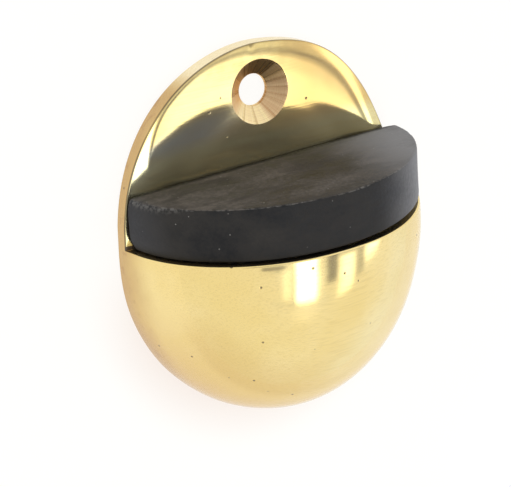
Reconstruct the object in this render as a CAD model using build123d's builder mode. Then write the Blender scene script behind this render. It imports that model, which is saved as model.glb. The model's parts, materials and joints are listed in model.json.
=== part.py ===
"""Oval floor door stop: a polished brass casting with a black rubber buffer.

The casting is one piece: an oval base plate whose rear half rises into a
quarter-egg hood. A half-moon rubber buffer stands on the plate against the
closed mouth of the hood, held by one countersunk screw from underneath.

Frame: the floor face lies on Z = 0 with +Z up, the origin is the centre of
the oval, the long axis is Y, the fixing hole is at -Y, the hood is at +Y and
the buffer faces -Y.
"""
import os
from math import radians, sqrt, tan
from build123d import *

os.makedirs("parts", exist_ok=True)

# ---- Overall sizes ----
BASE_LENGTH = 50.0          # oval, along Y
BASE_WIDTH = 42.0           # oval, along X
HOOD_HEIGHT = 20.6          # floor to crown of the hood

# ---- Base plate ----
PLATE_THICKNESS = 2.6       # flat middle of the plate
RIM_HEIGHT = 1.9            # plain side wall, below the rolled shoulder
SHOULDER_WIDTH = 3.6        # buffed shoulder that rolls from the flat down to the rim

# ---- Hood ----
MOUTH_AHEAD = 2.95          # the mouth stands this far ahead of the oval's centre
MOUTH_EDGE = 0.2            # polished radius around the mouth
HOOD_WALL = 2.4             # cored casting wall
WEB_THICKNESS = 3.0         # wall that closes the mouth
SEAT_HEIGHT = 0.35          # raised seat on the web, which leaves a fine shadow gap
SEAT_INSET = 1.3            # the seat ends this far inside the outline of the mouth

# ---- Floor fixing hole ----
FIX_HOLE_AHEAD = 18.7       # from the oval's centre
FIX_HOLE_DIAMETER = 4.1
FIX_SINK_DIAMETER = 8.2
SINK_ANGLE = 90             # degrees, of both countersinks and of the screw head

# ---- Rubber buffer ----
BUFFER_THICKNESS = 6.35
BUFFER_INSET = 0.5          # the buffer ends this far inside the outline of the mouth
BUFFER_EDGE = 0.3           # worn edge radius around the face that meets the door

# ---- Buffer screw, 2.9 mm countersunk self-tapping screw ----
SCREW_DIAMETER = 2.9
SCREW_LENGTH = 13.0
SCREW_TIP = 2.6             # length of the point
SCREW_HEAD_DIAMETER = 5.5
SCREW_HEAD_EDGE = 0.25      # straight edge of the head above its cone
SCREW_SUNK = 0.25           # head face below the floor face
RECESS_WIDTH = 0.75
RECESS_SPAN = 3.0
RECESS_DEPTH = 1.0
SCREW_PLAY = 0.15           # all round, between the screw and the plate
BUFFER_PLAY = 0.05          # all round, between the screw and its bore in the buffer
BORE_END_PLAY = 0.5         # bore depth past the point

# ---- Sizes that follow ----
half_length = BASE_LENGTH / 2
half_width = BASE_WIDTH / 2
squash = half_width / half_length
mouth_scale = sqrt(1 - (MOUTH_AHEAD / half_length) ** 2)
mouth_half_width = half_width * mouth_scale
mouth_height = HOOD_HEIGHT * mouth_scale
seat_ahead = MOUTH_AHEAD + SEAT_HEIGHT
buffer_middle = seat_ahead + BUFFER_THICKNESS / 2
reach = BASE_LENGTH + HOOD_HEIGHT
head_radius = SCREW_HEAD_DIAMETER / 2
shank_radius = SCREW_DIAMETER / 2
sink_slope = tan(radians(SINK_ANGLE / 2))
cone_depth = (head_radius - shank_radius) / sink_slope

# ---- Core: the space inside the hood, open to the floor ----
with BuildPart() as core:
    with BuildSketch(Plane.YZ):
        Ellipse(half_length - HOOD_WALL, HOOD_HEIGHT - HOOD_WALL)
        Rectangle(reach, reach, align=(Align.MIN, Align.CENTER), mode=Mode.INTERSECT)
    revolve(axis=Axis.Z)
    scale(by=((half_width - HOOD_WALL) / (half_length - HOOD_WALL), 1, 1))
    split(bisect_by=Plane.XZ.offset(MOUTH_AHEAD - WEB_THICKNESS), keep=Keep.BOTTOM)

# ---- Shoulder: the ring of space over the rolled edge of the plate ----
with BuildPart() as shoulder_space:
    with BuildSketch(Plane.YZ):
        with BuildLine():
            inner_end = (half_length - SHOULDER_WIDTH, PLATE_THICKNESS)
            roll = TangentArc(inner_end, (half_length, RIM_HEIGHT), tangent=(1, 0))
            past = Line(roll @ 1, roll @ 1 + (roll % 1) * RIM_HEIGHT)
            Polyline(past @ 1, (reach, RIM_HEIGHT), (reach, reach), (inner_end[0], reach), inner_end)
        make_face()
    revolve(axis=Axis.Z)
    scale(by=(squash, 1, 1))
    split(bisect_by=Plane.XZ.offset(MOUTH_AHEAD), keep=Keep.TOP)

# ---- Casting: half an egg, opened ahead of the mouth and cored from below ----
with BuildPart() as casting:
    with BuildSketch(Plane.YZ):
        Ellipse(half_length, HOOD_HEIGHT)
        Rectangle(reach, reach, align=(Align.MIN, Align.CENTER), mode=Mode.INTERSECT)
    revolve(axis=Axis.Z)
    scale(by=(squash, 1, 1))
    split(bisect_by=Plane.XY, keep=Keep.TOP)
    # open everything above the plate and ahead of the mouth
    with Locations((0, -MOUTH_AHEAD, PLATE_THICKNESS)):
        Box(reach, reach, reach, align=(Align.CENTER, Align.MAX, Align.MIN), mode=Mode.SUBTRACT)
    add(shoulder_space.part, mode=Mode.SUBTRACT)
    # the polishing wheel breaks the long edge of the mouth
    mouth_edges = casting.edges().filter_by_position(
        Axis.Y, -MOUTH_AHEAD - MOUTH_EDGE, -MOUTH_AHEAD + MOUTH_EDGE
    )
    fillet(mouth_edges.sort_by(Axis.Z)[-1], MOUTH_EDGE)
    add(core.part, mode=Mode.SUBTRACT)
    # raised seat for the buffer, rooted in the plate
    with BuildSketch(Plane.XZ.offset(MOUTH_AHEAD)):
        Ellipse(mouth_half_width - SEAT_INSET, mouth_height - SEAT_INSET)
        with Locations((0, PLATE_THICKNESS / 2)):
            Rectangle(reach, reach, align=(Align.CENTER, Align.MIN), mode=Mode.INTERSECT)
    extrude(amount=SEAT_HEIGHT)
    # countersunk fixing hole from above
    with Locations((0, -FIX_HOLE_AHEAD, PLATE_THICKNESS)):
        CounterSinkHole(FIX_HOLE_DIAMETER / 2, FIX_SINK_DIAMETER / 2, counter_sink_angle=SINK_ANGLE)
    # countersunk hole for the buffer screw from below
    with Locations(Location((0, -buffer_middle, 0), (180, 0, 0))):
        CounterSinkHole(
            shank_radius + SCREW_PLAY,
            head_radius + SCREW_PLAY + (SCREW_SUNK + SCREW_HEAD_EDGE) * sink_slope,
            depth=PLATE_THICKNESS,
            counter_sink_angle=SINK_ANGLE,
        )
casting.part.label = "casting"
export_step(casting.part, "parts/casting.step")

# ---- Buffer: half-moon rubber slab on the plate, flat against the seat ----
with BuildPart() as buffer:
    with BuildSketch(Plane.XZ.offset(seat_ahead)):
        Ellipse(mouth_half_width - BUFFER_INSET, mouth_height - BUFFER_INSET)
    extrude(amount=BUFFER_THICKNESS)
    with Locations((0, 0, PLATE_THICKNESS)):
        Box(
            reach, reach, reach,
            align=(Align.CENTER, Align.CENTER, Align.MIN),
            mode=Mode.INTERSECT,
        )
    fillet(buffer.faces().sort_by(Axis.Y)[0].edges(), BUFFER_EDGE)
    with BuildSketch(Plane.XY):
        with Locations((0, -buffer_middle)):
            Circle(shank_radius + BUFFER_PLAY)
    extrude(amount=SCREW_SUNK + SCREW_LENGTH + BORE_END_PLAY, mode=Mode.SUBTRACT)
buffer.part.label = "buffer"
export_step(buffer.part, "parts/buffer.step")

# ---- Buffer screw: head down, flush in the floor face ----
with BuildPart() as buffer_screw:
    with BuildSketch(Plane.XZ.offset(buffer_middle)):
        with BuildLine():
            head_top = SCREW_SUNK + SCREW_HEAD_EDGE
            Polyline(
                (0, SCREW_SUNK),
                (head_radius, SCREW_SUNK),
                (head_radius, head_top),
                (shank_radius, head_top + cone_depth),
                (shank_radius, SCREW_SUNK + SCREW_LENGTH - SCREW_TIP),
                (0, SCREW_SUNK + SCREW_LENGTH),
                close=True,
            )
        make_face()
    revolve(axis=Axis((0, -buffer_middle, 0), (0, 0, 1)))
    # cross recess in the head
    with BuildSketch(Plane.XY.offset(SCREW_SUNK)):
        with Locations((0, -buffer_middle)):
            Rectangle(RECESS_SPAN, RECESS_WIDTH)
            Rectangle(RECESS_WIDTH, RECESS_SPAN)
    extrude(amount=RECESS_DEPTH, taper=12, mode=Mode.SUBTRACT)
buffer_screw.part.label = "buffer_screw"
export_step(buffer_screw.part, "parts/buffer_screw.step")
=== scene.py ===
# %% [markdown]
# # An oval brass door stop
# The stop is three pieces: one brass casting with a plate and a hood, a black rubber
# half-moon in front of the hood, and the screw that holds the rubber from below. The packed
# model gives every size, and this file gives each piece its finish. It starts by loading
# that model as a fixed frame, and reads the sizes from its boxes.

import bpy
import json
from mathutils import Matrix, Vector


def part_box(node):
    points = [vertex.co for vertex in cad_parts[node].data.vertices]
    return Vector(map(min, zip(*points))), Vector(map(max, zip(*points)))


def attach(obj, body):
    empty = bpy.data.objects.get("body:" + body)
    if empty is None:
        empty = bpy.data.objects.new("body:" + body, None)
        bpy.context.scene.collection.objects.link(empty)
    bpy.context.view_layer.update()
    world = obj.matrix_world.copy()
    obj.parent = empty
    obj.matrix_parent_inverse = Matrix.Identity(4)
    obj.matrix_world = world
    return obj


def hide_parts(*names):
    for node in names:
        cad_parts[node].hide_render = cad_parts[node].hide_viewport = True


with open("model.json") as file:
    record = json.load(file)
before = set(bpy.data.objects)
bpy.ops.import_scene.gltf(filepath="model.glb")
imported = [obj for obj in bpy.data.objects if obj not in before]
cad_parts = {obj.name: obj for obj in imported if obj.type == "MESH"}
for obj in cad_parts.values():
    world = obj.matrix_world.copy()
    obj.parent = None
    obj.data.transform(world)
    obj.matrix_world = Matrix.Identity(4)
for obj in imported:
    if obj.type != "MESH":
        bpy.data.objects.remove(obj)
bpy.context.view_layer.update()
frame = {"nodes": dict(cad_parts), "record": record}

import json
import math

import bmesh
import bpy
import numpy as np
from mathutils import Matrix, Vector

# %% [markdown]
# ## The camera
# The stop is seen from above its front corner, with the camera rolled so that the hood
# hangs below the plate. A camera is a position and three directions: right, up and back.
# They are worked out from two angles and a roll, because angles are easy to check by eye.

# %% Make the camera
AZIMUTH, ELEVATION, ROLL = map(math.radians, (50.96, 54.19, 117.75))
DISTANCE = 0.14619                  # m, from the camera to the middle of the floor
SIDE, RISE = -0.00107, -0.00232     # m, its shift to its own right and up
SENSOR, LENS = 36, 77.3             # mm, width of the sensor and focal length

back = Vector((
    math.sin(AZIMUTH) * math.cos(ELEVATION),
    -math.cos(AZIMUTH) * math.cos(ELEVATION),
    math.sin(ELEVATION),
))
level = Vector((0, 0, 1)).cross(back).normalized()
upright = back.cross(level)
right = math.cos(ROLL) * level + math.sin(ROLL) * upright
up = -math.sin(ROLL) * level + math.cos(ROLL) * upright

camera = bpy.data.objects.new("camera", bpy.data.cameras.new("camera"))
bpy.context.scene.collection.objects.link(camera)
turned = Matrix((right, up, back)).transposed().to_4x4()
turned.translation = back * DISTANCE + right * SIDE + up * RISE
camera.matrix_world = turned
camera.data.sensor_width = SENSOR
camera.data.lens = LENS
camera.data.clip_start = 0.01
bpy.context.scene.camera = camera
print("camera at", [round(c * 1000, 1) for c in turned.translation], "mm")

# %% [markdown]
# ## Nodes and colours
# Every finish below is a tree of shader nodes. One small function adds a node, sets its
# values and joins its inputs, so each line of a material reads as one step. Colours are
# written as the hex values a colour picker shows, and one function turns them to the
# linear numbers that the renderer works in.

# %% Helpers for nodes and colours
def linear(hex_colour):
    """The linear RGBA of an sRGB hex colour such as "#E8C87A"."""
    parts = [int(hex_colour[i:i + 2], 16) / 255 for i in (1, 3, 5)]
    return [c / 12.92 if c <= 0.04045 else ((c + 0.055) / 1.055) ** 2.4
            for c in parts] + [1.0]


RANGE, MATH, MIX = "ShaderNodeMapRange", "ShaderNodeMath", "ShaderNodeMix"
VECTOR, NOISE, BUMP = "ShaderNodeVectorMath", "ShaderNodeTexNoise", "ShaderNodeBump"
SMOOTH, COLOUR = {"interpolation_type": "SMOOTHSTEP"}, {"data_type": "RGBA"}
TIMES, TIMES_PLUS = {"operation": "MULTIPLY"}, {"operation": "MULTIPLY_ADD"}


def add(tree, kind, settings, *values, give=0, **named):
    """Adds a node of a kind to a tree and returns its output number give. Settings are its
    properties. Values go to its inputs in order, and named ones to the input of that name,
    with _ for a space, or of that number, as in7. A value that is a socket is linked."""
    node = tree.nodes.new(kind)
    for name, value in settings.items():
        setattr(node, name, value)
    sockets = list(zip(node.inputs, values))
    for name, value in named.items():
        key = int(name[2:]) if name[2:].isdigit() else name.replace("_", " ")
        sockets.append((node.inputs[key], value))
    for socket, value in sockets:
        if isinstance(value, bpy.types.NodeSocket):
            tree.links.new(value, socket)
        else:
            socket.default_value = value
    return node.outputs[give] if node.outputs else node


def material(name):
    """A new material with an empty tree, its tree, its shader and its coordinates."""
    made = bpy.data.materials.new(name)
    made.use_nodes = True
    tree = made.node_tree
    tree.nodes.clear()
    surface = add(tree, "ShaderNodeBsdfPrincipled", {})
    add(tree, "ShaderNodeOutputMaterial", {}, surface)
    place = add(tree, "ShaderNodeTexCoord", {}, give=3)     # Object coordinates
    return made, tree, surface.node.inputs, place


print("brass in linear light:", [round(c, 3) for c in linear("#F3D990")])

# %% [markdown]
# ## The room
# Polished metal shows the room more than itself, so the room comes before the metal. The
# stop stands on a white table in a white room, below a row of soft ceiling lights with
# darker ceiling between them. They are worked out in the sky from the ray's direction:
# divided by its height, a direction becomes a point on a flat ceiling one unit up.

# %% Ceiling panels
PANELS = (
    # x range, y range, soft edge, change of light
    ((-0.10, 0.16), (0.0, 0.61), 0.045, 3.4),        # the light that makes the main highlight
    ((-0.12, 0.19), (0.72, 0.95), 0.14, 0.16),       # its glow on the ceiling
    ((-0.68, -0.43), (0.24, 0.69), 0.07, 1.15),      # two more lights to its left
    ((-1.40, -0.97), (-0.40, 0.52), 0.09, 1.5),
    ((0.23, 0.34), (0.24, 0.58), 0.04, 0.45),        # a narrow one to its right
    ((0.175, 0.20), (0.20, 0.64), 0.020, -0.60),     # dark gaps between the lights
    ((-0.37, -0.225), (0.02, 0.48), 0.035, -0.70),
    ((-0.94, -0.72), (0.06, 0.60), 0.06, -0.42),
    ((-0.78, -0.30), (-0.10, 0.12), 0.06, -0.34),
    ((0.29, 0.62), (0.10, 0.275), 0.015, -0.60),
    ((-0.30, 0.50), (0.63, 0.67), 0.035, -0.15),     # a beam across the row
    ((0.28, 0.90), (-0.85, -0.10), 0.15, -0.50),     # a dark stand beside the table
)
print("ceiling panels:", len(PANELS))

# %% Build the room
LOWEST = 0.02                       # no ray counts as lower than this, so nothing divides by 0
ROOM = bpy.data.worlds.new("white_room")
bpy.context.scene.world = ROOM
bpy.context.scene.view_settings.view_transform = "Standard"
ROOM.use_nodes = True
sky = ROOM.node_tree
sky.nodes.clear()
ray = add(sky, "ShaderNodeTexCoord", {})
parts = add(sky, "ShaderNodeSeparateXYZ", {}, ray).node.outputs
height = add(sky, MATH, {"operation": "MAXIMUM"}, parts["Z"], LOWEST)
across = add(sky, MATH, {"operation": "DIVIDE"}, parts["X"], height)
along = add(sky, MATH, {"operation": "DIVIDE"}, parts["Y"], height)

light = 1.0
for x, y, feather, change in PANELS:
    weight = change
    for line, (start, end) in ((across, x), (along, y)):
        rises = add(sky, RANGE, SMOOTH, line, start - feather, start + feather)
        falls = add(sky, RANGE, SMOOTH, line, end + feather, end - feather)
        weight = add(sky, MATH, TIMES, add(sky, MATH, TIMES, rises, falls), weight)
    light = add(sky, MATH, {"operation": "ADD"}, weight, light)
print("room nodes for the ceiling:", len(sky.nodes))

# %% Colour the walls
# They are a little warm on one side and a little cool on another, as in a room with a window.
low_down = add(sky, RANGE, SMOOTH, parts["Z"], 0.15, 0.50, 1.0, 0.0)
WARM_SIDE, COOL_SIDE = (0.20, 0.98, 0.0), (-0.85, 0.53, 0.0)
walls = (1.0, 1.0, 1.0, 1.0)
for toward, start, tone in ((WARM_SIDE, 0.55, (0.93, 0.90, 0.86, 1)),
                            (COOL_SIDE, 0.65, (1.0, 1.05, 1.20, 1))):
    facing = add(sky, VECTOR, {"operation": "DOT_PRODUCT"}, ray, toward, give="Value")
    share = add(sky, MATH, TIMES, add(sky, RANGE, SMOOTH, facing, start, 0.98), low_down)
    walls = add(sky, MIX, COLOUR, share, give=2, in6=walls, in7=tone)
add(sky, "ShaderNodeOutputWorld", {}, add(sky, "ShaderNodeBackground", {}, walls, light))
print("room nodes:", len(sky.nodes))

# %% [markdown]
# ## The table
# The table is white acrylic lit from below, which gives a metal piece a clean base and no
# hard shadow. It could be a white floor under lamps, but a sheet that gives off light is
# simpler and stays even. Its glow is nearly white. Past a few centimetres it takes the tones
# of the walls, and beside the stop it is a little darker, where the stop keeps light off it.

# %% Lay the table top
TABLE_HALF = 3.0                    # m, from its middle to each side
table = bpy.data.meshes.new("table_top")
table.from_pydata([(-TABLE_HALF, -TABLE_HALF, 0), (TABLE_HALF, -TABLE_HALF, 0),
                   (TABLE_HALF, TABLE_HALF, 0), (-TABLE_HALF, TABLE_HALF, 0)], [], [(0, 1, 2, 3)])
table_top = bpy.data.objects.new("table_top", table)
bpy.context.scene.collection.objects.link(table_top)
print("table top", 2 * TABLE_HALF, "m wide")

# %% White acrylic, lit from below
SHADE_SIDE = (0.27, 0.96, 0.0)                      # the way from the stop to its shade
STOP_OVAL = (1 / 0.021, 1 / 0.025, 0.0)             # makes the stop's outline a circle of 1
white, tree, shader, place = material("white_lit_table")
shader["Base Color"].default_value = (0.14, 0.14, 0.14, 1)
shader["Roughness"].default_value = 0.9
shader["Specular IOR Level"].default_value = 0.0
shader["Emission Strength"].default_value = 0.88
glow = (1.0, 0.985, 0.955, 1)
far = add(tree, VECTOR, {"operation": "LENGTH"}, place, give="Value")
outward = add(tree, VECTOR, {"operation": "NORMALIZE"}, place)
reach = add(tree, RANGE, SMOOTH, far, 0.048, 0.095)
for toward, start, tone in ((WARM_SIDE, 0.55, (0.88, 0.83, 0.76, 1)),
                            (COOL_SIDE, 0.65, (0.96, 0.98, 1.08, 1))):
    side = add(tree, VECTOR, {"operation": "DOT_PRODUCT"}, outward, toward, give="Value")
    share = add(tree, MATH, TIMES, add(tree, RANGE, SMOOTH, side, start, 0.98), reach)
    glow = add(tree, MIX, COLOUR, share, give=2, in6=glow, in7=tone)
shade_side = add(tree, VECTOR, {"operation": "DOT_PRODUCT"}, outward, SHADE_SIDE, give="Value")
oval = add(tree, VECTOR, {"operation": "MULTIPLY"}, place, STOP_OVAL)
oval = add(tree, VECTOR, {"operation": "LENGTH"}, oval, give="Value")
shade = add(tree, MATH, TIMES, add(tree, RANGE, SMOOTH, shade_side, 0.1, 0.8),
            add(tree, RANGE, SMOOTH, oval, 0.95, 1.36, 0.9, 0.0))
glow = add(tree, MIX, COLOUR, shade, give=2, in6=glow, in7=(0.92, 0.83, 0.77, 1))
tree.links.new(glow, shader["Emission Color"])
table.materials.append(white)
print("table nodes:", len(tree.nodes))

# %% [markdown]
# ## How the surfaces are made
# Each brass or rubber skin is made of patches. A patch is a grid of points worked out from
# two parameters with numpy, and neighbouring patches share the points of their common edge,
# so that merging equal points closes the skin. Lengths are in millimetres until the mesh is
# made. A formula gives what polishing leaves and a plain block lacks: a plate worn slightly
# hollow, a rolled shoulder, and slow waves in the hood that bend its reflections.

# %% Sizes, from the frame
low, high = (np.array(corner) * 1000 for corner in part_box("casting"))
HALF_WIDTH, HALF_LENGTH, TOP = high
HALF_LENGTH = min(HALF_LENGTH, -low[1])
rubber_low, rubber_high = (np.array(corner) * 1000 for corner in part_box("buffer"))
screw_low, screw_high = (np.array(corner) * 1000 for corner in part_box("buffer_screw"))
PLATE = rubber_low[2]               # the rubber stands on the plate
SEAT_OUT = 0.35                     # how far the seat stands out of the mouth
MOUTH = rubber_high[1] + SEAT_OUT   # where the mouth of the hood is, along Y
RIM, EDGE = 1.9, 0.15               # height and rounding of the plate's outer edge
fixing_hole = frame["record"]["mounts"][0]
HOLE_Y, HOLE = fixing_hole["pos_m"][1] * 1000, fixing_hole["dims"]["r_mm"]
SINK = 2 * HOLE                     # radius of the countersink's mouth
SINK_FLOOR = PLATE - (SINK - HOLE)  # a countersink of 90 degrees
print("half width, half length, top in mm:", HALF_WIDTH, HALF_LENGTH, TOP)


# %% Smooth steps and spacing
def step(low_end, high_end, value):
    """0 below low_end, 1 above high_end, and 3t^2 - 2t^3 between, t being the share of the way."""
    t = np.clip((value - low_end) / (high_end - low_end), 0, 1)
    return t * t * (3 - 2 * t)


def ease(low_end, high_end, value):
    """As step(), but 10t^3 - 15t^4 + 6t^5, so that its curvature doesn't jump at the ends."""
    t = np.clip((value - low_end) / (high_end - low_end), 0, 1)
    return t ** 3 * (10 - 15 * t + 6 * t * t)


def crowd(count, pull):
    """0 to 1 in steps that start small and grow: (e^(pull t) - 1) / (e^pull - 1)."""
    t = np.linspace(0, 1, count)
    return (np.exp(pull * t) - 1) / (math.exp(pull) - 1)


def crowd_ends(count, pull):
    """0 to 1 in steps that are small at both ends: crowd() forwards, then backwards."""
    half = crowd(count // 2 + 1, pull)
    return np.concatenate((half / 2, 1 - half[-2::-1] / 2))


print("a quarter of the way, step and ease:", step(0, 4, 1), ease(0, 4, 1))


# %% Lines and waves
def fan(start, end, share):
    """Straight lines from start points to end points, both (n, 3): a grid (m, n, 3)."""
    return start[None] + share[:, None, None] * (end - start)[None]


def waves(points, length, seed, count=7):
    """A smooth field near -1 to 1: sines of that wavelength, in random directions, added."""
    dice = np.random.default_rng(seed)
    turn = dice.normal(size=(count, 3))
    turn *= 2 * math.pi / length / np.linalg.norm(turn, axis=1, keepdims=True)
    phase = dice.uniform(0, 2 * math.pi, count)
    return np.sin(points @ turn.T + phase).sum(-1) / math.sqrt(count)


print("a wave field at three points:", np.round(waves(np.eye(3), 1.0, 1), 2))


# %% From grids to a closed mesh
MERGE = 3e-7                        # m: points nearer than this are one
THIN, SLIVER = 1e-8, 1e-6           # m: thinner faces go, from a new mesh and from a cut one
print("points that are merged, nearest in mm:", MERGE * 1000)


def skin(name, grids, closed):
    """One closed mesh from grids (m, n, 3) in mm. Where closed is true, a grid's last column
    joins its first. Equal points are merged, and faces are turned outwards."""
    points, faces, start = [], [], 0
    for grid, ring in zip(grids, closed):
        m, n = grid.shape[:2]
        number = start + np.arange(m * n).reshape(m, n)
        if ring:
            number = np.concatenate((number, number[:, :1]), 1)
        faces.append(np.stack((number[:-1, :-1], number[:-1, 1:],
                               number[1:, 1:], number[1:, :-1]), -1).reshape(-1, 4))
        points.append(grid.reshape(-1, 3))
        start += m * n
    points, faces = np.concatenate(points) / 1000, np.concatenate(faces)
    mesh = bpy.data.meshes.new(name)
    mesh.from_pydata(points, [], faces.tolist())
    tidy = bmesh.new()
    tidy.from_mesh(mesh)
    bmesh.ops.remove_doubles(tidy, verts=tidy.verts, dist=MERGE)
    bmesh.ops.dissolve_degenerate(tidy, edges=tidy.edges, dist=THIN)
    bmesh.ops.recalc_face_normals(tidy, faces=tidy.faces)
    tidy.to_mesh(mesh)
    holes = sum(not edge.is_manifold for edge in tidy.edges)
    volume = tidy.calc_volume(signed=True)
    tidy.free()
    if volume < 0:
        mesh.flip_normals()
    piece = bpy.data.objects.new(name, mesh)
    bpy.context.scene.collection.objects.link(piece)
    print(name, len(mesh.polygons), "faces, open edges:", holes,
          "volume mm3:", round(volume * 1e9))
    return piece


def lathe(name, profile, centre, columns=64):
    """A closed turned shape: each (radius, height) of the profile carried round centre."""
    angle = np.arange(columns) / columns * 2 * math.pi
    radius, height = np.array(profile, float).T[:, :, None]
    grid = np.stack((centre[0] + radius * np.cos(angle), centre[1] + radius * np.sin(angle),
                     height + 0 * angle), -1)
    return skin(name, [grid], [True])


# %% Cutting
def cut(piece, *cutters):
    """Takes the cutters' space out of the piece, clears up the slivers that this leaves, and
    then removes the cutters."""
    for cutter in cutters:
        tool = piece.modifiers.new("cut", "BOOLEAN")
        tool.operation, tool.solver, tool.object = "DIFFERENCE", "EXACT", cutter
    bpy.context.view_layer.update()
    done = piece.evaluated_get(bpy.context.evaluated_depsgraph_get())
    mesh = bpy.data.meshes.new_from_object(done)
    tidy = bmesh.new()
    tidy.from_mesh(mesh)
    bmesh.ops.remove_doubles(tidy, verts=tidy.verts, dist=SLIVER)
    bmesh.ops.dissolve_degenerate(tidy, edges=tidy.edges, dist=SLIVER)
    bmesh.ops.holes_fill(tidy, edges=[edge for edge in tidy.edges if edge.is_boundary])
    holes = sum(not edge.is_manifold for edge in tidy.edges)
    tidy.to_mesh(mesh)
    tidy.free()
    piece.modifiers.clear()
    piece.data = mesh
    for cutter in cutters:
        bpy.data.objects.remove(cutter)
    print(piece.name, "after cutting:", len(mesh.polygons), "faces, open edges:", holes)


# %% [markdown]
# ## The casting
# A real one is poured in brass, trimmed and buffed. The egg-shaped skin is a half
# ellipsoid: its side wall, hood and mouth are patches of one formula. The plate is a fan of
# straight lines from the countersink to the edge, because lines that meet both edges
# squarely keep the reflections smooth. Fan lines crowd towards the rim, where it turns
# fastest.

# %% Edges that the patches share
MOUTH_COLUMNS, WALL_ROWS, ARC_COLUMNS = 161, 7, 241
HOOD_ROWS, EDGE_ROWS = 81, 6        # of the hood, and how many of them round its edge
HOOD_EDGE = 0.2                     # rounding of the hood's edge at the mouth
wall_z = np.linspace(0, RIM - EDGE, WALL_ROWS)


def half_sizes(y):
    """Half width and height of the body's cross-section at y: both times root(1 - (y/b)^2)."""
    scale = np.sqrt(np.clip(1 - (y / HALF_LENGTH) ** 2, 0, 1))
    return HALF_WIDTH * scale, TOP * scale


wide_mouth, high_mouth = half_sizes(MOUTH)
foot = np.arcsin(wall_z / high_mouth)
round_mouth = np.linspace(foot[-1], math.pi - foot[-1], MOUTH_COLUMNS)
all_round = np.concatenate((foot[:-1], round_mouth, (math.pi - foot)[-2::-1]))
print("mouth, half width and height in mm:", np.round((wide_mouth, high_mouth), 2))


# %% Hood and side wall
def hood():
    """Points (wide cos u, y, high sin u), u from foot to foot over the crown and y from the
    mouth to the back. The first rows are a quarter round that fades out at the feet."""
    turn = np.linspace(0, math.pi / 2, EDGE_ROWS)
    start = math.asin((MOUTH + HOOD_EDGE) / HALF_LENGTH)
    lean = np.linspace(start, math.pi / 2, HOOD_ROWS - EDGE_ROWS + 1)
    y = np.concatenate((MOUTH + HOOD_EDGE * (1 - np.cos(turn)), HALF_LENGTH * np.sin(lean)[1:]))
    inset = np.concatenate((HOOD_EDGE * (1 - np.sin(turn)), np.zeros(HOOD_ROWS - EDGE_ROWS)))
    wide, tall = (size[:, None] for size in half_sizes(y))
    u = all_round[None]
    inset = inset[:, None] * step(RIM, 2 * RIM, high_mouth * np.sin(u))
    return np.stack(((wide - inset) * np.cos(u), y[:, None] + 0 * u,
                     (tall - inset) * np.sin(u)), -1)


def wall():
    """The body's skin below the rim: at each height an arc from the left foot of the mouth,
    round the front, to the right foot."""
    scale = np.sqrt(1 - (wall_z / TOP) ** 2)[:, None]
    lean = np.arcsin(MOUTH / (HALF_LENGTH * scale))
    share = np.linspace(0, 1, ARC_COLUMNS)[None]
    angle = (math.pi - lean) * (1 - share) + (2 * math.pi + lean) * share
    return np.stack((HALF_WIDTH * scale * np.cos(angle), HALF_LENGTH * scale * np.sin(angle),
                     wall_z[:, None] + 0 * angle), -1)


hood_grid, wall_grid = hood(), wall()
print("hood and wall grids:", hood_grid.shape[:2], wall_grid.shape[:2])

# %% Height of the plate
DISH, DISH_SIDE = 0.55, 9.5         # depth of the wear before the rubber, and how wide it fades
DISH_START = (-18.55, -0.110, 0.0175)     # the wear follows a line y = a + b x + c x^2
DISH_BEFORE, DISH_PAST = 4.4, 6.2   # it begins this far before that line, and is whole past it
BEVEL, BEVEL_TOP = 0.235, 0.50      # slope of the buffed bevel, and how high it goes
BEVEL_LESS = 0.38                   # share of the slope that it lacks near the +X corner
SOFT, SOFT_LESS = 1.4, 1.05         # half width of its turn to flat, and the +X side's lack
SLOW_RISE = 0.20                    # how far the plate rises behind the bevel
LIFT, LIFT_MORE = 0.15, 0.27        # how far the rim rises at the tip, and the +X side's extra
LIFT_X, LIFT_Y = (-9.0, 9.0), (-9.0, -19.5)     # where that extra and that rise come in
NICK, NICK_AT, NICK_WIDTH = 0.07, 0.7, 0.4      # depth, X and width of a nick in the rim


def rim_lift(x, y):
    """How far the rim rises from the mouth towards the tip, a little more on the +X side."""
    return (LIFT + LIFT_MORE * step(*LIFT_X, x)) * step(*LIFT_Y, y)


def dish_start(x):
    """The line along Y that the wear before the rubber follows: a + b x + c x^2."""
    a, b, c = DISH_START
    return a + b * x + c * x * x


def plate_height(x, y):
    """Height of the plate: the rim's quarter round, a buffed bevel that rises at a steady
    slope and turns flat over a soft width, a slow rise behind it, and an ease() down into the
    hollow in front of the rubber. The bevel is gentler near the mouth's +X corner, where the
    wheel reached in. A small nick crosses the rim at the tip."""
    scale = math.sqrt(1 - (wall_z[-1] / TOP) ** 2)
    a, b = HALF_WIDTH * scale, HALF_LENGTH * scale
    level = (x / a) ** 2 + (y / b) ** 2
    inset = np.clip((1 - level) / (2 * np.hypot(x / a ** 2, y / b ** 2) + 1e-9), 0, None)
    corner = EDGE * np.sqrt(1 - (1 - np.clip(inset / EDGE, 0, 1)) ** 2)
    lift = rim_lift(x, y)
    slope = BEVEL * (1 - BEVEL_LESS * step(-14.5, -9.5, y) * step(5, 15, x))
    width = (BEVEL_TOP - lift) / slope
    soft = np.minimum(SOFT - SOFT_LESS * step(-9, 9, x), 0.95 * width)
    t = np.clip((inset - width + soft) / (2 * soft), 0, 1)
    bevel = np.minimum(inset, width - soft) + 2 * soft * (t - t ** 3 + t ** 4 / 2)
    shoulder = lift + slope * bevel + SLOW_RISE * step(2, 13, inset)
    start = dish_start(x)
    hollow = DISH * ease(start - DISH_BEFORE, start + DISH_PAST, y) * ease(0.0, DISH_SIDE, inset)
    nick = NICK * np.exp(-((x - NICK_AT) / NICK_WIDTH) ** 2) * step(1.5, 0.3, inset) * (y < -20)
    return RIM - EDGE + corner + shoulder - hollow - nick


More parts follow.
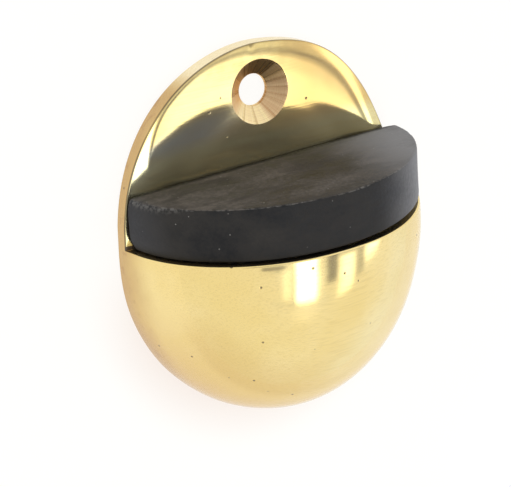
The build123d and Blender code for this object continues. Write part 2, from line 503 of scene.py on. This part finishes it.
print("plate height in mm, beside the hole and before the rubber:",
      np.round(plate_height(np.array([SINK, 0.0]), np.array([HOLE_Y, rubber_low[1]])), 2))

# %% Border of the plate
# the line runs over the hood's edge at the mouth, and its foot lies below it on the plate
line = hood_grid[0, WALL_ROWS - 1:len(all_round) - WALL_ROWS + 1].copy()
line_foot = line.copy()
line_foot[:, 2] = plate_height(line[:, 0], line[:, 1])
line_foot[[0, -1], 2] = wall_z[-1]
wall_grid[..., 2] *= 1 + rim_lift(wall_grid[..., 0], wall_grid[..., 1]) / wall_z[-1]
border = np.concatenate((wall_grid[-1], line_foot[1:-1]))
ray_out = border[:, :2] - (0, HOLE_Y)
ray_out /= np.linalg.norm(ray_out, axis=1, keepdims=True)
print("points round the plate:", len(border))


# %% Plate, countersink, mouth and underside
def ring(radius, height):
    """A circle round the fixing hole, one point on each fan line."""
    spot = np.concatenate((radius * ray_out + (0, HOLE_Y), np.zeros((len(ray_out), 1))), 1)
    spot[:, 2] = height if height is not None else plate_height(spot[:, 0], spot[:, 1])
    return spot


# the cone's upper lip is eased from the brow down to its top, and its lower lip at its foot
brow = ring(SINK + 0.06, None)
plate_grid = fan(border, brow, crowd_ends(80, 3.6))
plate_grid[1:-1, :, 2] = plate_height(plate_grid[1:-1, :, 0], plate_grid[1:-1, :, 1])
cone_top = ring(SINK - 0.05, None)
cone_top[:, 2] -= 0.07
cone_foot = ring(HOLE + 0.03, SINK_FLOOR + 0.03)
sink_grid = np.concatenate((brow[None], fan(cone_top, cone_foot, np.linspace(0, 1, 22)),
                            ring(HOLE, SINK_FLOOR - 0.05)[None], ring(HOLE, 0.0)[None]))
web_grid = fan(line, line_foot, crowd(44, 4.0))
web_x, web_z = web_grid[1:-1, :, 0], web_grid[1:-1, :, 2]
# the seat for the rubber starts a little more than 1 mm inside the mouth's edge
seat_inset = (1 - np.hypot(web_x / wide_mouth, web_z / high_mouth)) * 20
seat = step(1.2, 1.5, seat_inset) * step(0.0, 0.4, web_z - PLATE + 0.4)
web_grid[1:-1, :, 1] -= SEAT_OUT * seat
around_foot = np.concatenate((wall_grid[0], hood_grid[1:, 0], hood_grid[-2:0:-1, -1]))
base_grid = fan(ring(HOLE, 0.0), around_foot, np.linspace(0, 1, 9))
print("points round the foot:", len(around_foot))

# %% Hand finishing
BUMPS = ((0.45, 50, 42), (0.60, -31, 28), (-0.20, -66, 16))     # push, bearing, half angle
TRIM = 0.24                         # how far the mouth is trimmed back on its -X side
LEAN, LEAN_MORE = 0.28, 0.010       # the hood's shift to +X, and its growth per mm of -X


def hand_finish(points):
    """Pushes the plate's outline in or out by soft bumps (1 + cos) / 2 of the bearing from its
    tip, fading to nothing at the mouth and, with the square of the distance, at the middle.
    The mouth is trimmed back on its -X side, and the hood behind it leans to the +X side."""
    x, y = points[..., 0], points[..., 1]
    bearing = np.degrees(np.arctan2(x / HALF_WIDTH, -y / HALF_LENGTH))
    push = sum(size * (1 + np.cos(math.pi * np.clip((bearing - at) / wide, -1, 1))) / 2
               for size, at, wide in BUMPS)
    level = (x / HALF_WIDTH) ** 2 + (y / HALF_LENGTH) ** 2
    push = push * level ** 2 * step(MOUTH, MOUTH - 3, y)
    out = np.stack((x, y, 0 * x), -1)
    out /= np.linalg.norm(out, axis=-1, keepdims=True) + 1e-9
    points = points + push[..., None] * out
    trim = TRIM * step(2, -10, x) * step(3, 9, points[..., 2]) * step(9, MOUTH + 0.4, y)
    lean = (LEAN + LEAN_MORE * np.clip(-x, 0, None)) * step(MOUTH, 7, y)
    points[..., 1] += trim
    points[..., 0] += lean * step(HALF_LENGTH, 20, y)
    return points


wall_grid, plate_grid, base_grid = map(hand_finish, (wall_grid, plate_grid, base_grid))
sink_grid, hood_grid, web_grid = map(hand_finish, (sink_grid, hood_grid, web_grid))
print("half width of the finished wall in mm:", round(float(wall_grid[..., 0].max()), 2))

# %% Join the casting and hollow it
HOOD_WALL, WEB = 2.4, 3.0           # thickness of the hood, and of the web behind the rubber
SCREW_HOLE, SCREW_SINK = 1.6, 1.8   # radius of the screw's hole, and depth of its countersink
PAST = 1.0                          # how far a cutter goes past the face that it cuts
casting = skin("brass_casting", [hood_grid, wall_grid, plate_grid, sink_grid, web_grid, base_grid],
               [False, False, True, True, False, True])


def core():
    """The space inside the hood: an ellipsoid one wall inside the skin, from the web back."""
    start, back_end = MOUTH + WEB, HALF_LENGTH - HOOD_WALL
    y = back_end * np.sin(np.linspace(math.asin(start / back_end), math.pi / 2, 40))
    scale = np.sqrt(np.clip(1 - (y / back_end) ** 2, 0, 1))[:, None]
    u = np.linspace(0, 2 * math.pi, 96, endpoint=False)[None]
    dome = np.stack(((HALF_WIDTH - HOOD_WALL) * scale * np.cos(u), y[:, None] + 0 * u,
                     (TOP - HOOD_WALL) * scale * np.sin(u)), -1)
    return skin("core", [np.concatenate((dome[:1] * (0, 1, 0), dome))], [True])


screw_y = (screw_low[1] + screw_high[1]) / 2
# a hole with a countersink of 90 degrees, from below
clearance = lathe("clearance", [(0, -PAST), (SCREW_HOLE + SCREW_SINK + PAST, -PAST),
                                (SCREW_HOLE, SCREW_SINK), (SCREW_HOLE, 4), (0, 4)], (0, screw_y))
cut(casting, core(), clearance)

# %% [markdown]
# ## The rubber
# The half-moon is moulded rubber, trimmed by hand, so its edges are a little ragged and it
# stands slightly askew on its one screw. It is an outline carried from the middle of the
# front face, over the edge, along the side and back to the middle of the rear face.

# %% Outline of the rubber
def rubber_outline(count, arc_points=2000, foot_points=1200, soften=2):
    """Half an ellipse on a straight foot, at equal distances, with its corners softened
    by a moving average."""
    top = rubber_high[2]
    wide = rubber_high[0] / math.sqrt(1 - (PLATE / top) ** 2)
    u = np.linspace(math.asin(PLATE / top), math.pi - math.asin(PLATE / top), arc_points)
    straight = wide * np.cos(u[-1]) * np.linspace(1, -1, foot_points)[1:-1]
    x = np.concatenate((wide * np.cos(u), straight))
    z = np.concatenate((top * np.sin(u), np.full(foot_points - 2, PLATE)))
    x, z = np.append(x, x[0]), np.append(z, z[0])
    along = np.concatenate(([0], np.cumsum(np.hypot(np.diff(x), np.diff(z)))))
    even = np.linspace(0, along[-1], count, endpoint=False)
    x, z = np.interp(even, along, x), np.interp(even, along, z)
    shifts = range(-soften, soften + 1)
    return [sum(np.roll(line, k) for k in shifts) / len(shifts) for line in (x, z)]


rubber_x, rubber_z = rubber_outline(520)
out_x = np.roll(rubber_z, -1) - np.roll(rubber_z, 1)
out_z = np.roll(rubber_x, 1) - np.roll(rubber_x, -1)
out_length = np.hypot(out_x, out_z)
out_x, out_z = out_x / out_length, out_z / out_length
print("outline of the rubber in mm:", round(float(out_length.sum() / 2), 1))

# %% Rows of the rubber
RUBBER_EDGE = 0.28                  # rounding of its edges
front, rear = rubber_low[1], rubber_high[1]


def rubber_rows():
    """Rows as (share of the way out from the middle, inset, y, wear): the front face, its edge
    as a quarter round, the side, the rear edge and the rear face."""
    quarter = np.linspace(0, math.pi / 2, 6)
    rising, falling = RUBBER_EDGE * (1 - np.cos(quarter)), RUBBER_EDGE * (1 - np.sin(quarter))
    rows = [(share, RUBBER_EDGE, front, 1) for share in 1 - crowd(26, 2.5)[::-1]]
    rows += [(1, inset, front + back, math.cos(q) ** 2)
             for inset, back, q in zip(falling[1:], rising[1:], quarter[1:])]
    sides = np.linspace(front + RUBBER_EDGE, rear - RUBBER_EDGE, 14)
    rows += [(1, 0, y, 0) for y in sides[1:-1]]
    rows += [(1, inset, rear - back, 0) for inset, back in zip(rising, falling)]
    rows += [(share, RUBBER_EDGE, rear, 0) for share in 1 - crowd(8, 1.0)[1:]]
    return np.array(rows, float).T[:, :, None]


print("rows of the rubber:", rubber_rows().shape[1])

# %% Shape of the rubber
MIDDLE = 8.5                        # height from which the rows of both faces spread
NIBBLE, BITE = 0.06, 0.30           # how far the front edge wavers, and how deep the bites are
FLARE = 0.22                        # how far the rear edge stands back and out
BULGE = 0.62                        # how far the +X end bulges
RIPPLE, FINE_RIPPLE = 0.035, 0.012  # how wavy the front face is, broadly and finely
PRESS = 0.03                        # how wavy the side is


def rubber():
    """The rows carried round the outline, with the front edge nibbled by a random inset, the
    foot let down into the hollow of the plate, faces and side a little wavy, and the +X end
    bulged by 1 - |2d - 1|^3, d being the depth from front to rear."""
    spot = np.stack((rubber_x, 0 * rubber_x, rubber_z), -1)
    # each field is waves(points, length in mm, seed)
    nibble = NIBBLE * waves(spot, 1.1, 3) + NIBBLE * waves(spot, 3.0, 4)
    nibble += BITE * step(1.1, 2.2, waves(spot, 2.2, 5) + 0.5 * waves(spot, 0.9, 6))
    nibble *= step(PLATE + 0.3, PLATE + 1.5, rubber_z) * (1 - 0.65 * step(13, 17, rubber_z))
    let_down = DISH * step(PLATE + 2.0, PLATE, rubber_z) * step(20.6, 17.5, abs(rubber_x))
    share, inset, y, wear = rubber_rows()
    inset = inset + np.clip(nibble, -0.04, 1)[None] * wear * step(0.9, 1.0, share)
    x = share * (rubber_x - inset * out_x)
    z = MIDDLE + share * (rubber_z - let_down - inset * out_z - MIDDLE)
    grid = np.stack((x, y + 0 * x, z), -1)
    worn = RIPPLE * waves(grid, 7, 8) + FINE_RIPPLE * waves(grid, 1.6, 9)
    grid[:, :, 1] += np.abs(worn) * (grid[:, :, 1] < front + 0.1)
    grid[:, :, 1] += FLARE * step(rear - 1.5, rear, grid[:, :, 1]) * step(0.9, 1.0, share)
    side = (share == 1) & (inset < 0.05)
    press = np.where(side, PRESS * waves(grid, 6, 10) - PRESS, 0)
    press = press * step(PLATE + 0.2, PLATE + 1, z)
    grid[:, :, 0] += press * out_x
    grid[:, :, 2] += press * out_z
    depth = (grid[:, :, 1] - front) / (rear - front)
    bulge = BULGE * np.clip(1 - abs(2 * depth - 1) ** 3, 0, 1) + FLARE * step(0.4, 0.85, depth)
    grid[:, :, 0] += bulge * step(0.5, 1.0, share) * step(14, 19, grid[:, :, 0])
    return grid


rubber_grid = rubber()
print("points on the rubber:", rubber_grid.shape[0] * rubber_grid.shape[1])

# %% Set the rubber askew and bore it
ASKEW, SLIP = math.radians(0.45), -0.58     # its turn, and its shift in mm to the -X side
BORE, BORE_TOP = 1.5, 13.75                 # radius and top of the hole for its screw
pivot = np.array((rubber_high[0], rear))
turn = np.array(((math.cos(ASKEW), math.sin(ASKEW)), (-math.sin(ASKEW), math.cos(ASKEW))))
rubber_grid[:, :, :2] = (rubber_grid[:, :, :2] - pivot) @ turn + pivot + (SLIP, 0)
half_moon = skin("rubber_half_moon", [rubber_grid], [True])
bore = lathe("bore", [(0, 0), (BORE, 0), (BORE, BORE_TOP), (0, BORE_TOP)], (0, screw_y))
cut(half_moon, bore)

# %% [markdown]
# ## Polished brass under lacquer
# The casting is yellow brass, buffed on a soft wheel and lacquered. To the eye that is a
# warm mirror with a faint haze over it, streaks where the wheel ran, and a few casting pits.
# Low on the walls it is rougher, where the wheel can't reach, and painted browner there, with
# stains, as a painted darker reflection of the floor beside it; the back of the hood's foot
# gets painted shade too. The tip's wall has a painted highlight, and the rim's edge and the
# inside of the mouth have painted shade. On the plate, dried polish leaves a pale film before
# the rubber, and one side and one corner are painted darker, as a dimmer painted reflection.
# The metal is the shader's base, and its clear coat is the lacquer. Each tone has a mask, from
# 0 to 1, that says where it lies, worked out from the place on the piece in millimetres.

# %% Parts of the brass
MM = 1000.0                         # noise of scale MM / size has features about size mm across
brass, tree, shader, place = material("polished_lacquered_brass")
place_mm = add(tree, VECTOR, {"operation": "SCALE"}, place, Scale=MM)
x, y, z = add(tree, "ShaderNodeSeparateXYZ", {}, place_mm).node.outputs
lift = add(tree, RANGE, SMOOTH, x, *LIFT_X, LIFT, LIFT + LIFT_MORE)      # as rim_lift()
lift = add(tree, MATH, TIMES, lift, add(tree, RANGE, SMOOTH, y, *LIFT_Y))
over_floor = add(tree, MATH, {"operation": "SUBTRACT"}, z, lift)
past_start = add(tree, MATH, TIMES_PLUS, add(tree, MATH, TIMES, x, x), -DISH_START[2], y)
past_start = add(tree, MATH, TIMES_PLUS, x, -DISH_START[1], past_start)  # y - (b x + c x^2)
oval = add(tree, VECTOR, {"operation": "MULTIPLY"}, place_mm,
           (1 / HALF_WIDTH, 1 / HALF_LENGTH, 0.0))
oval = add(tree, VECTOR, {"operation": "LENGTH"}, oval, give="Value")

ahead = add(tree, RANGE, SMOOTH, y, MOUTH + 0.1, MOUTH - 0.1)
surface_normal = add(tree, "ShaderNodeNewGeometry", {}, give="Normal")
facing_up = add(tree, "ShaderNodeSeparateXYZ", {}, surface_normal, give="Z")
on_plate = add(tree, MATH, TIMES, ahead, add(tree, RANGE, SMOOTH, facing_up, 0.40, 0.75))
off_plate = add(tree, MATH, {"operation": "SUBTRACT"}, 1.0, on_plate)
at_tip = add(tree, RANGE, SMOOTH, y, -20.5, -23.2)
# painted shade inside the mouth, in the gap before the rubber
painted_mouth_shade = add(tree, MATH, TIMES, add(tree, RANGE, SMOOTH, y, MOUTH, MOUTH - 0.03),
               add(tree, RANGE, SMOOTH, y, MOUTH - 0.6, MOUTH - 0.5))
painted_mouth_shade = add(tree, MATH, TIMES, painted_mouth_shade, add(tree, RANGE, SMOOTH, z, 1.65, 1.85))

cloud = add(tree, NOISE, {}, place, Scale=MM / 9, Detail=3.0)
blotch = add(tree, NOISE, {}, place, Scale=MM / 1.6, Detail=3.0)
swell = add(tree, NOISE, {}, place, Scale=MM / 6, Detail=1.0)
along_x = add(tree, "ShaderNodeMapping", {}, place, Scale=(0.03, 1.0, 1.0))
wheel = add(tree, NOISE, {}, along_x, Scale=MM / 0.2, Detail=3.0)
print("nodes for the parts of the brass:", len(tree.nodes))

# %% Tones of the walls: painted shade at the foot, a painted darker reflection low down with its stains, and a painted highlight at the tip
# painted shade: the back of the hood is painted browner towards the floor
foot = add(tree, MATH, TIMES, add(tree, RANGE, SMOOTH, z, 18.0, 6.0),
           add(tree, RANGE, SMOOTH, y, 0.0, 20.0))
foot = add(tree, MATH, TIMES, foot, add(tree, RANGE, SMOOTH, cloud, 0.3, 0.7, 0.65, 0.95))
# painted highlight: the wall at the tip is painted paler
painted_tip_highlight = add(tree, MATH, TIMES, at_tip, off_plate)
# painted darker reflection of the floor near the stop, low on the walls; the same mask makes them
# rougher and holds the stains
painted_low_shade = add(tree, MATH, TIMES_PLUS, cloud, -6.0, over_floor)
painted_low_shade = add(tree, RANGE, SMOOTH, painted_low_shade, 3.5, -2.5)
painted_low_shade = add(tree, MATH, TIMES, painted_low_shade, off_plate)
painted_low_shade = add(tree, MATH, TIMES, painted_low_shade, add(tree, RANGE, {}, at_tip, 0.0, 1.0, 1.0, 0.1))
stain = add(tree, MATH, TIMES, add(tree, RANGE, SMOOTH, blotch, 0.56, 0.72, 0.0, 0.4), painted_low_shade)
streaks = add(tree, RANGE, SMOOTH, wheel, 0.45, 0.70, 0.0, 0.24)
print("nodes with the walls:", len(tree.nodes))

# %% Tones of the plate: a painted dimmer reflection on one side and a corner, film, a hazier tip, painted shade along the rim, and pits
# painted dimmer reflection: the plate's -X side and its +X corner by the rubber are painted duller
painted_dim_side = add(tree, MATH, TIMES, add(tree, RANGE, SMOOTH, x, 0.0, -8.0, 0.0, 0.7), on_plate)
painted_dim_corner = add(tree, MATH, TIMES, add(tree, RANGE, SMOOTH, x, 14.5, 17.5),
                  add(tree, RANGE, SMOOTH, y, -15.0, -10.0, 0.0, 0.65))
painted_dim_corner = add(tree, MATH, TIMES, painted_dim_corner, on_plate)
film = add(tree, MATH, TIMES, add(tree, RANGE, SMOOTH, x, -1.0, 10.0), on_plate)
film = add(tree, MATH, TIMES, film, add(tree, RANGE, SMOOTH, past_start, -18.5, -16.5))
film = add(tree, MATH, TIMES, film, add(tree, RANGE, SMOOTH, past_start, -11.5, -15.5))
tip_haze = add(tree, MATH, TIMES, at_tip, on_plate)
tip_haze = add(tree, MATH, TIMES, tip_haze,
               add(tree, RANGE, SMOOTH, blotch, 0.3, 0.7, 0.0, 0.30))
mirror_zone = add(tree, RANGE, SMOOTH, y, -15.0, -12.5, 0.0, 0.7)
mirror_zone = add(tree, MATH, TIMES, mirror_zone, on_plate)
# painted shade: a dark line along the turn of the rim
painted_rim_shade = add(tree, MATH, TIMES, add(tree, RANGE, SMOOTH, over_floor, 1.64, 1.77),
               add(tree, RANGE, SMOOTH, over_floor, 1.98, 1.88))
for mask in (ahead, add(tree, RANGE, SMOOTH, oval, 0.92, 0.95),
             add(tree, RANGE, SMOOTH, cloud, 0.3, 0.6, 0.45, 0.85)):
    painted_rim_shade = add(tree, MATH, TIMES, painted_rim_shade, mask)
cells = add(tree, "ShaderNodeTexVoronoi", {}, place, Scale=MM / 2.0).node.outputs
picked = add(tree, "ShaderNodeSeparateColor", {}, cells["Color"])
pit = add(tree, MATH, TIMES, add(tree, RANGE, SMOOTH, cells["Distance"], 0.100, 0.050),
          add(tree, RANGE, SMOOTH, picked, 0.42, 0.60, 0.0, 0.9))
pit = add(tree, MATH, TIMES, pit, add(tree, RANGE, SMOOTH, mirror_zone, 0.0, 0.4, 1.0, 0.1))
print("nodes with the plate:", len(tree.nodes))

# %% Mix the brass
colour = linear("#EFD588")
for share, tone in ((add(tree, RANGE, SMOOTH, cloud, 0.35, 0.65), "#F4DD98"), (foot, "#D0A467"),
                    (painted_tip_highlight, "#FFF2CC"), (painted_dim_side, "#D2AC66"), (painted_dim_corner, "#A39C7C"),
                    (film, "#C8C8BC"), (mirror_zone, "#E2DCA6"), (painted_low_shade, "#C8A264"),
                    (stain, "#9C6A3C"), (streaks, "#D8B76E"), (tip_haze, "#B99758"),
                    (painted_rim_shade, "#5F4A22"), (pit, "#5A4220"), (painted_mouth_shade, "#3B2E1A")):
    colour = add(tree, MIX, COLOUR, share, give=2, in6=colour, in7=linear(tone))
tree.links.new(colour, shader["Base Color"])
tree.links.new(add(tree, MATH, TIMES_PLUS, film, -0.12, 1.0), shader["Metallic"])
shader["Specular Tint"].default_value = (0.95, 0.90, 0.76, 1)   # the edge stays yellow
rough = add(tree, RANGE, SMOOTH, cloud, 0.3, 0.7, 0.085, 0.125)
tree.links.new(add(tree, MATH, TIMES_PLUS, painted_low_shade, 0.15, rough), shader["Roughness"])
shader["Coat Weight"].default_value = 1.0
shader["Coat Roughness"].default_value = 0.45
bump = add(tree, BUMP, {}, Strength=0.09, Distance=0.02 / MM, Height=wheel)
bump = add(tree, BUMP, {}, Strength=0.15, Distance=0.25 / MM, Height=swell, Normal=bump)
bump = add(tree, BUMP, {"invert": True}, Strength=0.6, Distance=0.06 / MM, Height=pit, Normal=bump)
tree.links.new(bump, shader["Normal"])
print("brass nodes:", len(tree.nodes))

# %% [markdown]
# ## The countersink
# The countersink is cut with a bit after casting and isn't buffed. Its fine rings act as a
# record's grooves do and stretch each reflection into a bright or dark sector. Anisotropy
# does that when its tangent follows the rings. The cone's lips are rubbed round, so its
# normal is turned a little upwards.

# %% Turned brass of the countersink
turned, tree, shader, place = material("turned_brass")
from_hole = add(tree, VECTOR, {"operation": "SUBTRACT"}, place, (0.0, HOLE_Y / MM, 0.0))
around_hole = add(tree, VECTOR, {"operation": "CROSS_PRODUCT"}, (0.0, 0.0, 1.0), from_hole)
level_part = add(tree, VECTOR, {"operation": "MULTIPLY"}, from_hole, (1.0, 1.0, 0.0))
radius = add(tree, VECTOR, {"operation": "LENGTH"}, level_part, give="Value")
spoke = add(tree, VECTOR, {"operation": "NORMALIZE"}, level_part)
east, north, _ = add(tree, "ShaderNodeSeparateXYZ", {}, spoke).node.outputs
bearing = add(tree, MATH, {"operation": "ARCTAN2"}, north, east)
rings = add(tree, NOISE, {"noise_dimensions": "1D"}, W=radius, Scale=MM / 0.11, Detail=2.0)
chatter = add(tree, NOISE, {"noise_dimensions": "1D"}, W=bearing, Scale=4.0, Detail=4.0)
# painted highlight on one side of the cone and painted shade on the other
painted_shade_side, painted_highlight_side = (
    add(tree, VECTOR, {"operation": "DOT_PRODUCT"}, spoke, toward, give="Value")
    for toward in ((-0.90, 0.43, 0.0), (0.25, 0.97, 0.0)))
colour = linear("#E6C088")
for share, tone in ((add(tree, RANGE, SMOOTH, painted_highlight_side, 0.55, 0.85), "#FBE6B0"),
                    (add(tree, RANGE, SMOOTH, painted_shade_side, 0.62, 0.80), "#D0AE84"),
                    (add(tree, RANGE, SMOOTH, chatter, 0.45, 0.65, 0.0, 0.45), "#F0D2A4"),
                    (add(tree, RANGE, SMOOTH, chatter, 0.48, 0.36, 0.0, 0.40), "#9C774E"),
                    (add(tree, RANGE, SMOOTH, rings, 0.4, 0.7, 0.0, 0.25), "#A87C4A")):
    colour = add(tree, MIX, COLOUR, share, give=2, in6=colour, in7=linear(tone))
tree.links.new(colour, shader["Base Color"])
shader["Metallic"].default_value = 1.0
tree.links.new(add(tree, RANGE, SMOOTH, chatter, 0.3, 0.7, 0.24, 0.36), shader["Roughness"])
shader["Anisotropic"].default_value = 0.8
tree.links.new(around_hole, shader["Tangent"])
surface_normal = add(tree, "ShaderNodeNewGeometry", {}, give="Normal")
rounded = add(tree, VECTOR, {"operation": "ADD"}, surface_normal, (0.0, 0.0, 0.45))
rounded = add(tree, VECTOR, {"operation": "NORMALIZE"}, rounded)
bump = add(tree, BUMP, {}, Strength=0.25, Distance=0.03 / MM, Height=rings, Normal=rounded)
tree.links.new(bump, shader["Normal"])
print("countersink nodes:", len(tree.nodes))

# %% [markdown]
# ## Moulded rubber
# Black rubber with carbon in it is almost black, and dull. What shows is what lies on it:
# grey dust and mould bloom on the front face, scuffed edges, and a few white specks.

# %% Dust, smears and scuffs of the rubber, and painted shade at its foot
black, tree, shader, place = material("moulded_black_rubber")
place_mm = add(tree, VECTOR, {"operation": "SCALE"}, place, Scale=MM)
x, y, z = add(tree, "ShaderNodeSeparateXYZ", {}, place_mm).node.outputs
surface_normal = add(tree, "ShaderNodeNewGeometry", {}, give="Normal")
facing_y = add(tree, "ShaderNodeSeparateXYZ", {}, surface_normal, give="Y")
front_face = add(tree, RANGE, SMOOTH, facing_y, -0.55, -0.9)
longer = add(tree, "ShaderNodeMapping", {}, place, Scale=(0.5, 1.0, 1.0))
patches = add(tree, NOISE, {}, longer, Scale=MM / 5, Detail=5.0, Roughness=0.6)
smears = add(tree, NOISE, {}, longer, Scale=MM / 4.0, Detail=6.0, Distortion=0.6)
fine = add(tree, NOISE, {}, place, Scale=MM / 0.45, Detail=3.0)

dust = add(tree, MATH, TIMES_PLUS, fine, 0.5, add(tree, MATH, TIMES, patches, 0.8))
dust = add(tree, RANGE, SMOOTH, dust, 0.42, 0.85)
dust_there = add(tree, MATH, TIMES, dust, add(tree, RANGE, {}, front_face, 0.0, 1.0, 0.14, 0.90))
smear = add(tree, MATH, TIMES, add(tree, RANGE, SMOOTH, smears, 0.52, 0.36, 0.0, 0.60), front_face)
# the -X end is lighter, and the +X end a little lighter and bluer
far_end = add(tree, MATH, TIMES, add(tree, RANGE, SMOOTH, x, -4.0, -17.0),
              add(tree, RANGE, SMOOTH, patches, 0.25, 0.6, 0.45, 1.0))
near_end = add(tree, RANGE, SMOOTH, x, 17.5, 20.5, 0.0, 0.15)
scuff = add(tree, MATH, TIMES, add(tree, RANGE, SMOOTH, facing_y, -0.98, -0.8),
            add(tree, RANGE, SMOOTH, facing_y, -0.2, -0.5))
scuff = add(tree, MATH, TIMES, scuff, add(tree, RANGE, SMOOTH, fine, 0.40, 0.62, 0.0, 0.42))
# painted shade where the rubber meets the plate
painted_foot_shade = add(tree, RANGE, SMOOTH, z, PLATE + 0.6, PLATE - 0.1, 0.0, 0.85)
cells = add(tree, "ShaderNodeTexVoronoi", {}, place, Scale=MM / 1.1).node.outputs
picked = add(tree, "ShaderNodeSeparateColor", {}, cells["Color"])
speck = add(tree, MATH, TIMES, add(tree, RANGE, SMOOTH, cells["Distance"], 0.10, 0.04),
            add(tree, RANGE, SMOOTH, picked, 0.50, 0.95, 0.0, 0.36))
mark = add(tree, MATH, TIMES, add(tree, RANGE, SMOOTH, smears, 0.60, 0.72),
           add(tree, RANGE, SMOOTH, fine, 0.50, 0.62, 0.0, 0.22))
print("nodes for what lies on the rubber:", len(tree.nodes))

# %% Mix the rubber
colour = linear("#101114")
for share, tone in ((add(tree, RANGE, SMOOTH, patches, 0.3, 0.7), "#202020"),
                    (dust_there, "#625B54"), (smear, "#2B2824"), (far_end, "#7E7E80"),
                    (near_end, "#6A6C74"), (mark, "#55565A"), (scuff, "#7C7A76"),
                    (painted_foot_shade, "#100E0B"), (speck, "#C8C6C0")):
    colour = add(tree, MIX, COLOUR, share, give=2, in6=colour, in7=linear(tone))
tree.links.new(colour, shader["Base Color"])
tree.links.new(add(tree, RANGE, SMOOTH, dust, 0.0, 1.0, 0.50, 0.80), shader["Roughness"])
shader["Specular IOR Level"].default_value = 0.22
bump = add(tree, BUMP, {}, Strength=0.5, Distance=0.06 / MM, Height=fine)
bump = add(tree, BUMP, {}, Strength=0.4, Distance=0.2 / MM, Height=patches, Normal=bump)
tree.links.new(bump, shader["Normal"])
print("rubber nodes:", len(tree.nodes))

# %% [markdown]
# ## The screw
# The screw under the plate is steel with a thin brass plating, which is paler and a little
# greyer than solid brass, and its head is rubbed by the driver.

# %% Brassed steel
steel, tree, shader, place = material("brassed_steel")
rubbed = add(tree, NOISE, {}, place, Scale=MM / 1.2, Detail=4.0)
drawn = add(tree, "ShaderNodeMapping", {}, place, Scale=(0.25, 0.25, 1.0))
drawn = add(tree, NOISE, {}, drawn, Scale=MM / 0.25)
bare = add(tree, RANGE, SMOOTH, rubbed, 0.42, 0.62)
colour = add(tree, MIX, COLOUR, bare, give=2, in6=linear("#D9BE7C"), in7=linear("#B9B2A0"))
tree.links.new(colour, shader["Base Color"])
shader["Metallic"].default_value = 1.0
tree.links.new(add(tree, RANGE, SMOOTH, rubbed, 0.3, 0.7, 0.22, 0.42), shader["Roughness"])
bump = add(tree, BUMP, {}, Strength=0.3, Distance=0.05 / MM, Height=drawn)
tree.links.new(bump, shader["Normal"])
print("screw nodes:", len(tree.nodes))

# %% [markdown]
# ## The pieces on their body
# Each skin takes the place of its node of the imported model, and moves with the one body that
# the stop has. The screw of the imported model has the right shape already, so it only gets its
# material. The casting has two materials, and a face's place says which one it takes.

# %% Put the pieces on their body
SHARP = math.radians(32)            # edges that turn by more than this stay crisp
for piece, node, slot, finishes in ((casting, "casting", "polished_brass", (brass, turned)),
                                    (half_moon, "buffer", "black_rubber", (black,))):
    piece.data.materials.clear()
    for finish in finishes:
        piece.data.materials.append(finish)
    piece.data.shade_smooth()
    piece.data.set_sharp_from_angle(angle=SHARP)
    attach(piece, "root")
    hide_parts(node)
screw = frame["nodes"]["buffer_screw"].data
screw.materials.clear()
screw.materials.append(steel)
print("materials on the casting:", len(casting.data.materials))

# %% Turned brass in the countersink
middles = np.empty(len(casting.data.polygons) * 3)
casting.data.polygons.foreach_get("center", middles)
middles = middles.reshape(-1, 3) * 1000
in_sink = np.hypot(middles[:, 0], middles[:, 1] - HOLE_Y) < SINK + 0.03
in_sink &= middles[:, 2] > 0.001
casting.data.polygons.foreach_set("material_index", in_sink.astype(np.int32))
print("faces in the countersink:", int(in_sink.sum()))
